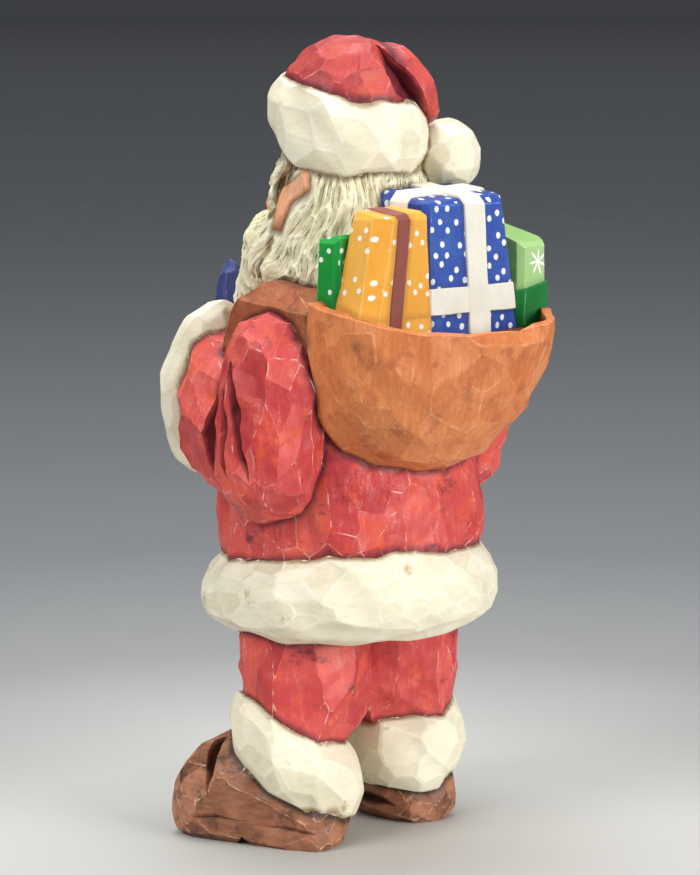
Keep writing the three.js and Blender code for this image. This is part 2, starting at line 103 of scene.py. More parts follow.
class Form:
    """A convex block of wood: the planes of its facets, as normals and how far out they are."""

    def __init__(self, normals, reaches):
        self.normals = np.array(normals, float).reshape(-1, 3)
        self.reaches = np.array(reaches, float)
        self.facets = len(self.reaches)
        self.lowest = self.highest = None

    def moved(self, matrix):
        turn, shift = np.array(matrix)[:3, :3], np.array(matrix)[:3, 3]
        normals = self.normals @ np.linalg.inv(turn)
        length = np.linalg.norm(normals, axis=1)
        return Form(normals / length[:, None], (self.reaches + normals @ shift) / length)

    def placed(self, at, turn=(0, 0, 0)):
        matrix = Matrix.Translation(at)
        for axis, degrees in zip("XYZ", turn):
            matrix = matrix @ Matrix.Rotation(math.radians(degrees), 4, axis)
        return self.moved(matrix)

    def sheared(self, slopes):
        """Lifts each point by its x and y times the slopes."""
        matrix = Matrix.Identity(4)
        matrix[2][0], matrix[2][1] = slopes
        return self.moved(matrix)

    def sliced(self, normal, point):
        """Keeps what lies behind the normal of a plane through the point."""
        n = unit(normal)
        return Form(np.vstack([self.normals, n]), np.append(self.reaches, n @ np.array(point)))

    def outside(self, points):
        """How far each point lies outside the form, and the facet that it is nearest to."""
        over = points @ self.normals.T - self.reaches
        nearest = over.argmax(axis=1)
        return over[np.arange(len(points)), nearest], nearest

    def gap(self, points):
        """How far each point is from the nearest ridge between two facets, and its facet."""
        over = points @ self.normals[:self.facets].T - self.reaches[:self.facets]
        first = over.argmax(axis=1)
        rows = np.arange(len(points))
        highest = over[rows, first]
        over[rows, first] = -np.inf
        return highest - over.max(axis=1), first

    def near(self, points, margin):
        return ((points > self.lowest - margin) & (points < self.highest + margin)).all(axis=1)


def reach_of(n, at, size, plan=2, section=2):
    """How far out a plane with the normal n touches a rounded lump round a point: powers of 2
    give an ellipsoid, higher ones square it off."""
    x, y, z = (abs(radius * part) for radius, part in zip(size, n))

    def norm(a, b, power):
        power = power / (power - 1)
        return (a ** power + b ** power) ** (1 / power)

    return norm(norm(x, y, plan), z, section) + float(np.dot(n, at))


def whittle(seed, lumps, rows, axis=(0, 0, 1), depth=0.5, waver=5):
    """Whittles the convex form that wraps some lumps: each knife stroke leaves one flat facet.

    lumps holds what reach_of says of each, and rows holds (elevation of the facets in degrees,
    strokes round the form), about its axis.
    """
    to_axis = Vector((0, 0, 1)).rotation_difference(Vector(axis).normalized())
    normals, reaches = [], []
    stroke = 0
    for row, (elevation, strokes) in enumerate([(-90, 1), *rows, (90, 1)]):
        for i in range(strokes):
            stroke += 1
            loose = 1 if strokes > 1 else 0
            turn = (i + row / 2 + 0.3 * loose * wobble(seed, stroke)) / strokes * 2 * math.pi
            tilt = math.radians(elevation + waver * loose * wobble(seed, stroke + 500))
            flat = math.cos(tilt)
            n = to_axis @ Vector((math.cos(turn) * flat, math.sin(turn) * flat, math.sin(tilt)))
            reach = max(reach_of(n, *lump) for lump in lumps)
            normals.append(n)
            reaches.append(reach - depth * (0.5 + 0.5 * wobble(seed, stroke + 900)) * loose)
    return Form(normals, reaches)


def band(seed, size, strokes, section=4.5):
    """A band of carved fur: a drum with worn corners."""
    rows = [(-54, strokes - 2), (-13, strokes), (12, strokes), (52, strokes - 2)]
    return whittle(seed, [((0, 0, 0), size, 2, section)], rows, depth=0.6)


def pebble(seed, at, size, strokes=8):
    rows = [(-58, strokes - 2), (-24, strokes + 1), (8, strokes + 2), (38, strokes),
            (68, strokes - 3)]
    return whittle(seed, [(at, size)], rows, depth=0.3)


def arch(outline, half):
    """The form between x = -half and x = half, with a convex outline of (y, z) round it."""
    normals = [unit((0, z1 - z0, y0 - y1))
               for (y0, z0), (y1, z1) in zip(outline, outline[1:] + outline[:1])]
    reaches = [n @ np.array([0.0, *at]) for n, at in zip(normals, outline)]
    return Form([*normals, (1, 0, 0), (-1, 0, 0)], [*reaches, half, half])


# Blades: each is the convex block of air that one cut of the knife takes away

def blade(corners):
    solid = bmesh.new()
    for corner in corners:
        solid.verts.new(corner)
    bmesh.ops.convex_hull(solid, input=solid.verts[:])
    bmesh.ops.delete(solid, geom=[v for v in solid.verts if not v.link_faces], context="VERTS")
    bmesh.ops.recalc_face_normals(solid, faces=solid.faces[:])
    return solid


def notch(start, end, out, width, depth, lift=5):
    """A V cut along the chord between two points, which runs out to nothing at both ends."""
    start, end = np.array(start, float), np.array(end, float)
    across = unit(np.cross(out, end - start))
    up = unit(np.cross(end - start, across))
    middle = (start + end) / 2
    half = width / 2
    flare = half * (1 + lift / depth)
    return blade([
        start, end, middle - depth * up, middle + half * across, middle - half * across,
        start + lift * up, end + lift * up,
        middle + flare * across + lift * up, middle - flare * across + lift * up,
    ])


def channel(start, end, out, spread, lift=12):
    """The corners of a V channel of even depth, whose floor runs between two points."""
    start, end = np.array(start, float), np.array(end, float)
    across = unit(np.cross(out, end - start)) * lift * spread
    up = unit(out) * lift
    return [start, end, start + up + across, start + up - across,
            end + up + across, end + up - across]


# Carving: each carver adds forms to the pieces, and the cuts that they get

forms = {}
blades = {}


def add(piece, form):
    forms.setdefault(piece, []).append(form)


def carve(piece, *whittling, **how):
    add(piece, whittle(*whittling, **how))


def cut(piece, solid):
    blades.setdefault(piece, []).append(solid)


def carve_leg(side):
    carve("trousers", 11 + side,
          [(((LEG_X - 1) * side, 0, 72), (LEG_RADIUS + 1, LEG_RADIUS + 1, 6)),
           ((12 * side, 3, 73), (15, 15, 6)),
           ((LEG_X * side, 1, 38), (LEG_RADIUS - 0.5, LEG_RADIUS - 0.5, 12))],
          [(-60, 6), (-10, 9), (4, 11), (30, 6)])
    slope = LEFT_CUFF_SLOPE if side > 0 else RIGHT_CUFF_SLOPE
    shift = LEFT_CUFF_SHIFT if side > 0 else (0, 0)
    cuff = band(21 + side, TROUSER_CUFF_SIZE, 11, 7).sheared(slope)
    add("trouser_cuffs", cuff.placed((LEG_X * side + shift[0], 0.5 + shift[1], TROUSER_CUFF_Z)))


def carve_boot(side):
    boot = whittle(
        31 + side,
        [((0, -14.5, 12), (14, 14, 15.5), 2.3, 2.5),
         ((0, -5, 18), (12.5, 12, 17), 2.2),
         ((0, 15.5, 8), (12.8, 13.3, 13), 2.6, 2.4),
         ((0, -14, 3.5), (15, 15, 5), 2.3, 2.4)],
        [(-50, 12), (-6, 14), (16, 13), (42, 10), (68, 6)])
    stand = (Matrix.Translation((FOOT_AT[0] * side, FOOT_AT[1], 0))
             @ Matrix.Rotation(math.radians(FOOT_SPLAY * side), 4, "Z"))
    add("boots", boot.sliced((0, 0, -1), (0, 0, 0)).moved(stand))
    creases = [channel((-30, 0, 3), (30, 0, 3), (0, 0, -1), 1)]
    for flank in (1, -1):
        creases.append(channel((1.5 * flank, -12.5, 27.5), (17 * flank, -10.5, 13.5),
                               (flank, 0, 1.2), 0.45))
    for corners in creases:
        cut("boots", blade([stand @ Vector(corner) for corner in corners]))
    turn = stand.to_3x3()
    for flank in (1, -1):
        for start, end, out in [((15, -25, 7.6), (13.6, 5, 8.6), (1, 0, 0.1)),
                                ((14.5, 1, 7.4), (10, 28, 5.6), (1, 0.2, 0.1))]:
            ends = [stand @ Vector(mirrored(point, flank)) for point in (start, end)]
            cut("boots", notch(*ends, turn @ Vector(mirrored(out, flank)), 1.4, 1))


def coat_body(allowance):
    return whittle(
        42,
        [((0, 0, 92), (COAT_RADIUS[0] + allowance, COAT_RADIUS[1] + allowance, 5)),
         ((0, -1, 118), (41 + allowance, 40 + allowance, 14)),
         ((0, 2, 154), (36 + allowance, 26 + allowance, 17))],
        [(-18, 14), (-5, 17), (5, 17), (15, 17), (25, 15), (42, 12), (65, 7)],
        depth=0.8)


def carve_coat():
    hem = whittle(
        44,
        [((0, 0, 9), (*COAT_RADIUS, 6)),
         ((4, 8, 12.6), (36, 33, 4)),
         ((0, 0, -2.2), (*HEM_RADIUS, 12.6), 2, 4.5)],
        [(-62, 13), (-32, 15), (-8, 17), (12, 18), (36, 16), (62, 12)],
        depth=0.7)
    add("hem", hem.placed((0, 0, HEM_Z), HEM_TURN))
    add("coat", coat_body(0))
    panel = coat_body(1.8)
    for normal, point in [((1, 0, 0), (7.5, 0, 0)), ((-1, 0, 0), (-7.5, 0, 0)),
                          ((0, 1, 0), (0, 0, 0)), ((0, 0, -1), (0, 0, 85)),
                          ((0, 0, 1), (0, 0, 163))]:
        panel = panel.sliced(normal, point)
    add("front_fur", panel)


def carve_arm(side):
    shoulder, elbow, wrist = (mirrored(point, side) for point in (SHOULDER, ELBOW, WRIST))
    carve("coat", 51 + side,
          [(shoulder, (16.5, 17, 14)), (elbow, (17, 17.5, 17.5))],
          [(-68, 5), (-40, 9), (-16, 10), (-2, 11), (12, 10), (36, 9), (62, 6)],
          depth=0.7)
    carve("coat", 61 + side,
          [((elbow[0] - 1.5 * side, elbow[1] - 2, elbow[2] + 1), (14, 14, 16)),
           ((wrist[0], wrist[1], wrist[2] - 2), (17.5, 6, 24.5)),
           ((wrist[0] - side, wrist[1] - 4, wrist[2] - 1), (17, 4, 24.5)),
           ((wrist[0] + 6 * side, wrist[1] + 8, wrist[2] - 20), (10.5, 6, 8.5))],
          [(-60, 7), (-28, 10), (-10, 11), (4, 12), (60, 6)],
          axis=(-0.2 * side, -0.95, 0.25), depth=0.7)
    along = Vector((-0.33 * side, -0.92, 0.2)).normalized()
    across = Vector((0, 0, 1)).cross(along).normalized()
    basis = Matrix((along.cross(across), -across, along)).transposed().to_4x4()
    basis.translation = (wrist[0] - 1.5 * side, wrist[1] - 6.5, wrist[2] + 1.5)
    add("sleeve_cuffs", band(71 + side, SLEEVE_CUFF_SIZE, 13, 3.2).moved(basis))
    for start, end, out, width, depth in [
            ((49, -6, 163), (48, -11, 106), (0.9, 0.05, 0), 5, 6.5),
            ((54.5, 0.5, 160), (56, 12, 118), (1, 0.1, 0), 3.6, 3.8),
            ((54, -1, 150), (56, 4, 118), (1, 0, 0), 2.2, 2)]:
        cut("coat", notch(*(mirrored(p, side) for p in (start, end, out)), width, depth))


def carve_mittens():
    rows = [(-60, 5), (-20, 8), (10, 9), (45, 7)]
    for side in (1, -1):
        palm = [((24 * side, -37, 142), (10, 8, 14)),
                ((7 * side, -45, 152), (8, 6.5, 11))]
        thumb = [((7 * side, -46, 160), (5, 4.6, 5)),
                 ((4.6 * side, -48, 174.6), (4.2, 4, 4.4))]
        carve("mittens", 81 + 3 * side, palm, rows)
        carve("mittens", 82 + 3 * side, thumb, rows)


def carve_face():
    """The head with its nose, cheeks, eyes and ears, and the temples, moustache and brows."""
    add("face", pebble(91, (0, -5, 204), (19.2, 18.6, 22), 10))
    add("face", pebble(92, (0, -27.8, 198.5), (4.3, 5.9, 4.4)))
    rows = [(-60, 5), (-20, 8), (15, 9), (50, 6)]
    for side in (1, -1):
        add("face", pebble(93 + side, (8.6 * side, -18.6, 198.5), (6.4, 5.2, 5.6)))
        add("hair", pebble(89 + side, (18 * side, -9.5, 203), (4.4, 6, 8)))
        add("eyes", pebble(95 + side, (7.6 * side, -22.6, 205), (2.5, 2.2, 1.9), 6))
        carve("hair", 97 + side, [((3 * side, -30, 191), (4, 5, 4)),
                                  ((16 * side, -25, 186.5), (4, 4, 4))], rows)
        carve("hair", 99 + side, [((3.6 * side, -22.8, 209.6), (2.2, 2, 1.6)),
                                  ((10.6 * side, -20, 208.8), (2.2, 2, 1.8))], rows)
        carve("ears", 101 + side, [((21.9 * side, 2.3, 204.3), (2.9, 2.7, 5.2)),
                                   ((24.2 * side, -7, 190.2), (2.4, 2, 3.2))], rows)


HEAD_OF_HAIR = 6  # so many of the hair's forms belong to the face; the broad ones follow
CROWN = [((0, 1, 209), (21.5, 20.5, 8)), ((0, 3, 191), (25, 22, 8)),
         ((0, 5, 175.5), (30.5, 23, 9.5))]
WHISKERS = [((0, -4.5, 210), (20.5, 17.5, 9)), ((0, -8.5, 198), (20.3, 16.3, 6))]
BEARD = [((0, -16, 190), (21, 15, 6)), ((0, -22, 180), (20, 14.5, 8)),
         ((0, -32, 165), (14, 12.5, 8))]


def carve_hair():
    rows = [(-65, 7), (-30, 12), (-10, 14), (8, 15), (25, 12), (60, 8)]
    for seed, lumps in [(103, CROWN), (104, WHISKERS), (105, BEARD)]:
        carve("hair", seed, lumps, rows)
    for side in (1, -1):
        carve("hair", 107 + side, [((18.5 * side, -7, 192), (5, 7, 8)),
                                   ((22.5 * side, -10, 181), (8.5, 9, 7)),
                                   ((14 * side, 3, 177), (17, 16, 9.5))], rows)


def carve_hat():
    brim = whittle(
        111,
        [((0, -0.5, 0), BRIM_SIZE, 2, 5),
         ((0, 0.8, -3), (BRIM_SIZE[0], BRIM_SIZE[1], BRIM_SIZE[2] - 3), 2, 3),
         ((6, 2, -7.4), (18, 18, 9.8), 2, 3)],
        [(-58, 9), (-12, 11), (9, 12), (56, 10)],
        depth=0.6)
    add("hat_brim", brim.sheared((0, BRIM_SLOPE)).placed((0, 0, BRIM_Z)))
    carve("hat", 112, [((0, -0.5, HAT_TOP - 20), (20.6, 20.6, 20), 2, 2.3)],
          [(-30, 8), (6, 11), (26, 11), (46, 9), (66, 6)])
    carve("hat", 113, [((-6.5, 7.5, 240), (8, 8.5, 8.8), 2, 2.4),
                       ((-12.6, 14.6, 236), (6.4, 7.4, 7.4)),
                       ((-15.6, 18.2, 226), (4.6, 5.2, 4.6))],
          [(-45, 6), (0, 10), (24, 9), (48, 8), (70, 5)])
    add("pompom", pebble(117, (-25, 16.8, 212.9), (11.3, 11.3, 12)))
    cut("hat", notch((3, 10, 252), (-15.6, 25.6, 219), (0.62, 0.78, 0.2), 6.4, 5.5))


def carve_straps():
    strap = arch([(26, 160), (24, 169), (14, 174.5), (2, 176.5), (-5.5, 174.5), (-12, 165.5),
                  (-20, 146), (-8, 140), (20, 150)], 7.5)
    for side in (1, -1):
        worn = strap.placed((33.5 * side, 0, 0), (0, 0, -4 * side))
        add("straps", worn.sliced((0.75 * side, 0, 0.66), (36.5 * side, 0, 175)))


def inside_pack(inset):
    size = (PACK_SIZE[0] - inset, PACK_SIZE[1] - inset, 60)
    return whittle(122, [((*PACK_AT, PACK_RIM_Z), size, 2.5)], [(0, 18)],
                   depth=0.3, waver=0)


def carve_pack():
    x, y = PACK_AT
    slope = np.array([0, PACK_RIM_SLOPE, 1])
    pouch = whittle(
        121,
        [((x, y, PACK_RIM_Z - 4), (*PACK_SIZE, 14), 2.5),
         ((x, y, 151), (PACK_SIZE[0] - 1, PACK_SIZE[1] - 2.5, 18), 2.4),
         ((x + 3, y + 4, 134.5), (32, 28, 18))],
        [(-74, 5), (-54, 10), (-37, 13), (-19, 15), (-4, 17), (10, 16)],
        depth=0.9)
    pouch = pouch.sliced((0, -1, 0), (x, PACK_FRONT_Y, 0)).sliced(slope, (x, y, PACK_RIM_Z))
    add("pack", pouch)
    hollow = inside_pack(PACK_WALL + 0.6).sliced((0, -1, 0), (x, PACK_FRONT_Y + PACK_WALL, 0))
    hollow = hollow.sliced(-slope, (x, y, PACK_RIM_Z - PACK_MOUTH_DEPTH))
    cut("pack", block_of(hollow))


# Parcels: seed, sides in x and in y at the height of the lid, that height, how far each side
# leans in, how the lid slopes, and how much is cut off the back left corner
ORANGE = (131, (12, 31.2), (30.8, 44.4), 198.5, (0.22, 0.03, 0.03, 0.09), (-0.08, -0.14), 2.8)
BLUE = (132, (-23.2, 11.5), (22, 43.2), 203, (0.05, 0.06, 0.13, 0.04), (-0.03, -0.16), 1.1)
GREEN = (133, (22, 37), (21.4, 30.4), 191, (0.04, 0.02, 0, 0.03), (0, 0.2), 1.1)
LIME = (134, (-42.2, -28.5), (29, 45.6), 189.5, (0.02, 0.02, -0.03, 0.03), (0, -0.36), 1.1)


def boxed(seed, x, y, z, lean, slopes, bevel, swell=0):
    """The form of a parcel. Swell moves every face out, for a ribbon."""
    cx, cy = sum(x) / 2, sum(y) / 2
    sides = [((1, 0), (x[1], cy), (x[1], y[0])), ((0, 1), (cx, y[1]), (x[1], y[1])),
             ((-1, 0), (x[0], cy), (x[0], y[1])), ((0, -1), (cx, y[0]), (x[0], y[0]))]
    normals, reaches = [], []

    def shave(normal, at, depth=0):
        normals.append(unit(normal))
        reaches.append(normals[-1] @ np.array(at, float) + swell - depth)

    shave((0, 0, -1), (0, 0, PARCEL_FOOT_Z))
    shave((-slopes[0], -slopes[1], 1), (cx, cy, z))
    for i, (out, at, corner) in enumerate(sides):
        skew = 0.025 * wobble(seed, i)
        shave((out[0] - skew * out[1], out[1] + skew * out[0], lean[i]), (*at, z))
        lid = z + slopes[0] * (at[0] - cx) + slopes[1] * (at[1] - cy)
        shave((*out, 1), (*at, lid), 0.9 + 0.4 * wobble(seed, i + 30))
        last = sides[i - 1][0]
        size = bevel if i == 1 else 1.1
        shave((out[0] + last[0], out[1] + last[1], lean[i] + lean[i - 1]), (*corner, z),
              size * (1 + 0.3 * wobble(seed, i + 20)))
    wall = inside_pack(1.4 - swell)
    return Form([*normals, *wall.normals], [*reaches, *wall.reaches])


def carve_parcels():
    for piece, parcel in [("orange_parcel", ORANGE), ("blue_parcel", BLUE),
                          ("green_parcel", GREEN), ("lime_parcel", LIME)]:
        add(piece, boxed(*parcel))
    for piece, parcel, across, at, width, swell in [
            ("maroon_ribbon", ORANGE, (1, 0, 0.147), (22.6, 44, 197), 5.4, 0.3),
            ("cream_ribbon", BLUE, (1, 0.08, 0), (-8.9, 43, 201), 8.8, 0.8),
            ("cream_ribbon", BLUE, (0, 1, 0), (0, 32, 203), 7.4, 0.7),
            ("cream_ribbon", BLUE, (0, 0, 1), (0, 43, 171), 8, 0.6),
            ("green_band", LIME, (0.2, 0, 1), (-35, 45, 167.6), 12, 0.6)]:
        n = unit(across)
        ribbon = boxed(*parcel, swell).sliced(n, np.array(at) + n * width / 2)
        add(piece, ribbon.sliced(-n, np.array(at) - n * width / 2))


# Making the meshes

def pare(solid, strokes):
    """Cuts the solid back to each plane and caps it."""
    for normal, reach in strokes:
        made = bmesh.ops.bisect_plane(
            solid, geom=solid.verts[:] + solid.edges[:] + solid.faces[:], dist=1e-4,
            plane_co=Vector(normal) * reach, plane_no=Vector(normal), clear_outer=True)
        rim = [part for part in made["geom_cut"] if isinstance(part, bmesh.types.BMEdge)]
        if len(rim) > 2:
            bmesh.ops.contextual_create(solid, geom=rim)
    bmesh.ops.recalc_face_normals(solid, faces=solid.faces[:])


def corner_strokes(form, solid, corner):
    """Planes of small facets, about as wide as corner, that take off most blunt corners."""
    strokes = []
    for i, at in enumerate(sorted(solid.verts, key=lambda v: tuple(v.co))):
        sides = [face.normal for face in at.link_faces]
        n = sum(sides, Vector()).normalized()
        slope = sum(n.angle(side) for side in sides) / len(sides)
        if wobble(form.facets + 7, i) > -0.35 and 0.1 < slope < 0.6:
            size = corner * (1 + 0.4 * wobble(form.facets, i))
            strokes.append((n, n.dot(at.co) - size / 2 * math.tan(slope)))
    return strokes


def ridge_strokes(form, solid, chamfer):
    """Planes of the worn strips, about as wide as the chamfer, along the ridges."""
    strokes = []
    for i, edge in enumerate(sorted(solid.edges,
                                    key=lambda e: tuple(e.verts[0].co + e.verts[1].co))):
        if len(edge.link_faces) != 2:
            continue
        one, other = (face.normal for face in edge.link_faces)
        bend = one.angle(other)
        if bend > 0.02:
            n = (one + other).normalized()
            width = chamfer * (1 + 0.5 * wobble(form.facets, i))
            middle = (edge.verts[0].co + edge.verts[1].co) / 2
            strokes.append((n, n.dot(middle) - width / 2 * math.tan(bend / 2)))
    return strokes


def block_of(form, chamfer=0.0, corner=0.0):
    """The solid of a form, with its corners and ridges taken off by so many millimetres."""
    solid = bmesh.new()
    bmesh.ops.create_cube(solid, size=RAW_BLOCK)
    pare(solid, zip(form.normals, form.reaches))
    corners = corner_strokes(form, solid, corner) if corner else []
    pare(solid, corners)
    form.facets += len(corners)
    ridges = ridge_strokes(form, solid, chamfer) if chamfer else []
    pare(solid, ridges)
    if corners or ridges:
        form.normals = np.vstack([form.normals, [tuple(n) for n, _ in corners + ridges]])
        form.reaches = np.append(form.reaches, [reach for _, reach in corners + ridges])
    points = np.array([v.co for v in solid.verts])
    form.lowest, form.highest = points.min(axis=0), points.max(axis=0)
    return solid


def shown(name, mesh):
    made = bpy.data.objects.new(name, mesh)
    bpy.context.scene.collection.objects.link(made)
    return made


def object_of(solid, name):
    mesh = bpy.data.meshes.new(name)
    solid.to_mesh(mesh)
    return shown(name, mesh)


def finished(obj, others=()):
    """The mesh that an object's modifiers make, which replaces it and the others."""
    mesh = bpy.data.meshes.new_from_object(
        obj.evaluated_get(bpy.context.evaluated_depsgraph_get()))
    for spare in (obj, *others):
        data = spare.data
        bpy.data.objects.remove(spare)
        bpy.data.meshes.remove(data)
    return mesh


def joined(solids, holes):
    """One mesh that joins the solids and takes the holes out of it."""
    base, *more = [object_of(solid, "block") for solid in solids]
    tools = [object_of(hole, "hole") for hole in holes]
    for operation, others in (("UNION", more), ("DIFFERENCE", tools)):
        for other in others:
            step = base.modifiers.new("carve", "BOOLEAN")
            step.operation, step.solver, step.object = operation, "MANIFOLD", other
    return finished(base, more + tools)


def voxelled(mesh, size):
    """The mesh remade in even small faces."""
    made = shown("block", mesh)
    step = made.modifiers.new("grid", "REMESH")
    step.mode, step.voxel_size = "VOXEL", size
    return finished(made)


def arrays_of(mesh):
    """Corners and triangles of a mesh."""
    mesh.calc_loop_triangles()
    points = np.empty(len(mesh.vertices) * 3)
    mesh.vertices.foreach_get("co", points)
    triangles = np.empty(len(mesh.loop_triangles) * 3, int)
    mesh.loop_triangles.foreach_get("vertices", triangles)
    return points.reshape(-1, 3), triangles.reshape(-1, 3)


def split_once(points, triangles):
    """Splits every edge over LONGEST_EDGE at its middle. The last value says if any was."""
    edges = np.sort(np.stack([triangles, np.roll(triangles, -1, axis=1)], axis=2), axis=2)
    unique, index = np.unique(edges.reshape(-1, 2), axis=0, return_inverse=True)
    length = np.linalg.norm(points[unique[:, 0]] - points[unique[:, 1]], axis=1)
    long = length > LONGEST_EDGE
    if not long.any():
        return points, triangles, False
    middle = np.full(len(unique), -1)
    middle[long] = len(points) + np.arange(long.sum())
    points = np.vstack([points, points[unique[long]].mean(axis=1)])
    split = middle[index.reshape(-1, 3)]
    marked = (split >= 0).sum(axis=1)
    # Turn each triangle so that its splits come first
    start = np.zeros(len(triangles), int)
    for turn in (1, 2):
        rolled = np.roll(split, -turn, axis=1)
        better = ((marked == 1) & (rolled[:, 0] >= 0)) | ((marked == 2) & (rolled[:, 2] < 0))
        start[better] = turn
    order = (np.arange(3)[None] + start[:, None]) % 3
    a, b, c = np.take_along_axis(triangles, order, axis=1).T
    ab, bc, ca = np.take_along_axis(split, order, axis=1).T
    made = [triangles[marked == 0]]
    for count, rows in [
            (1, [(a, ab, c), (ab, b, c)]),
            (2, [(ab, b, bc), (a, ab, bc), (a, bc, c)]),
            (3, [(a, ab, ca), (ab, b, bc), (ca, bc, c), (ab, bc, ca)])]:
        here = marked == count
        made += [np.stack([part[here] for part in row], axis=1) for row in rows]
    return points, np.vstack(made), True


def refined(points, triangles):
    """The triangles in even small ones, without slivers and faces that lie back to back."""
    corners = np.sort(triangles, axis=1)
    _, same, count = np.unique(corners, axis=0, return_inverse=True, return_counts=True)
    whole = (corners[:, 0] < corners[:, 1]) & (corners[:, 1] < corners[:, 2])
    triangles = triangles[whole & (count[same.ravel()] == 1)]
    going = True
    while going:
        points, triangles, going = split_once(points, triangles)
    return points, triangles


def corner_normals(points, triangles):
    """Normals of the corners, each face weighing by its area."""
    a, b, c = (points[triangles[:, i]] for i in range(3))
    face = np.cross(b - a, c - a)
    normals = np.zeros_like(points)
    for i in range(3):
        np.add.at(normals, triangles[:, i], face)
    return normals / np.maximum(np.linalg.norm(normals, axis=1), 1e-9)[:, None]


def smoothstep(low, high, value):
    t = np.clip((value - low) / (high - low), 0, 1)
    return t * t * (3 - 2 * t)


def smooth_noise(points, wavelength, seed):
    """Soft waves from -1 to 1: a sum of sines in scattered directions."""
    total = np.zeros(len(points))
    for i in range(12):
        way = unit([wobble(seed, 3 * i), wobble(seed, 3 * i + 1), wobble(seed, 3 * i + 2)])
        pace = 2 * math.pi / (wavelength * (1 + 0.4 * wobble(seed, 90 + i)))
        total += np.sin(points @ way * pace + 3 * wobble(seed, 50 + i))
    return total / 3.5


def warped(points, waver=0.0):
    """The figure gently bent out of true, as work done by eye is. Its foot and the parcels
    stay straight."""
    long, short = (
        np.column_stack([smooth_noise(points, wavelength, seed + i) for i in range(3)])
        for wavelength, seed in ((15, 5), (6.5, 8)))
    drift = long + waver * short
    straight = smoothstep(158, 172, points[:, 2]) * smoothstep(14, 22, points[:, 1])
    share = BEND * smoothstep(0, 6, points[:, 2]) * (1 - 0.85 * straight)
    return points + drift * share[:, None] * [1, 1, 0.7]


def scatter_of(seed, count):
    return np.array([wobble(seed, k) for k in range(count)])


def marks_of(piece, points, triangles):
    """What the paint needs to know: per face its facet's tone and how worn a ridge it is, per
    corner how close the next form is and how deep a cut goes."""
    middles = points[triangles].mean(axis=1)
    best = np.full(len(middles), 1e9)
    tone = np.zeros(len(middles))
    ridge = np.zeros(len(middles))
    for number, form in enumerate(forms[piece]):
        over, facet = form.outside(middles)
        owns = np.abs(over) < np.abs(best)
        best[owns] = over[owns]
        scatter = 0.5 + 0.5 * scatter_of(number + len(piece), len(form.reaches))
        tone[owns] = scatter[facet[owns]]
        ridge[owns] = np.where(facet[owns] >= form.facets, scatter[facet[owns]] ** 0.7, 0)
    ridge[np.abs(best) > 0.05] = 0
    nearest = np.full((len(points), 2), FAR)
    deep = np.full(len(points), FAR)
    for name, group in forms.items():
        for form in group[:HEAD_OF_HAIR] if (piece, name) == ("face", "hair") else group:
            here = np.flatnonzero(form.near(points, 4))
            if not len(here):
                continue
            over, _ = form.outside(points[here])
            if name == piece:
                deep[here] = np.minimum(deep[here], over)
                if name == "hair":
                    continue
            over = np.where(over < -0.6, FAR, np.maximum(over, 0))
            pair = np.column_stack([nearest[here], over])
            pair.sort(axis=1)
            nearest[here] = pair[:, :2]
    # The nearest form is the piece's own, but for the hair, which leaves its own forms out
    next_form = nearest[:, 0 if piece == "hair" else 1]
    # crevice and sunk feed the painted shade, with some antiquing, near other forms and deep in
    # the cuts
    return {"tone": tone, "ridge": ridge, "crevice": smoothstep(SHADE_AND_ANTIQUING_REACH, 0, next_form),
            "sunk": np.clip(-deep / 4, 0, 1)}


def scooped(piece, points, depth):
    """How deep the knife's slightly hollow cuts lie below the flat facets."""
    best = np.full(len(points), 0.3)
    dent = np.zeros(len(points))
    for number, form in enumerate(forms[piece]):
        here = np.flatnonzero(form.near(points, 1))
        if not len(here):
            continue
        over, _ = form.outside(points[here])
        owns = np.abs(over) < best[here]
        here = here[owns]
        if not len(here):
            continue
        best[here] = np.abs(over[owns])
        gap, facet = form.gap(points[here])
        own = 0.65 + 0.35 * scatter_of(number, form.facets)
        dent[here] = depth * own[facet] * (1 - np.exp(-gap / 1.1))
    return dent


def wrap_of(points, triangles):
    """Where each corner of each face lies on the wrapping, in millimetres across and up."""
    corners = points[triangles]
    face = np.cross(corners[:, 1] - corners[:, 0], corners[:, 2] - corners[:, 0])
    way = np.abs(face).argmax(axis=1)[:, None]
    x, y, z = corners[..., 0], corners[..., 1], corners[..., 2]
    u = np.where(way == 0, y + 3.1, x)
    v = np.where(way == 2, y + 1.7, z)
    return np.stack([u, v, 0 * u], axis=2).reshape(-1, 3)


def dressed(name, points, triangles, marks, finish, crease):
    """The finished object of a piece, crisp where faces meet at more than the crease."""
    mesh = bpy.data.meshes.new(name)
    mesh.from_pydata((points + SHIFT) * 0.001, [], triangles)
    mesh.shade_smooth()
    mesh.set_sharp_from_angle(angle=math.radians(crease))
    domains = {len(points): "POINT", len(triangles): "FACE", triangles.size: "CORNER"}
    for label, values in marks.items():
        kind, key = ("FLOAT_VECTOR", "vector") if values.ndim == 2 else ("FLOAT", "value")
        field = mesh.attributes.new(label, kind, domains[len(values)])
        field.data.foreach_set(key, values.astype(np.float32).ravel())
    mesh.materials.append(finish)
    made = shown(name, mesh)
    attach(made, "root")
    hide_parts(NODE)


# Shader maths

def operator(operation, swapped=False):
    def combined(one, other):
        return one.sum(operation, *((other, one) if swapped else (one, other)))
    return combined


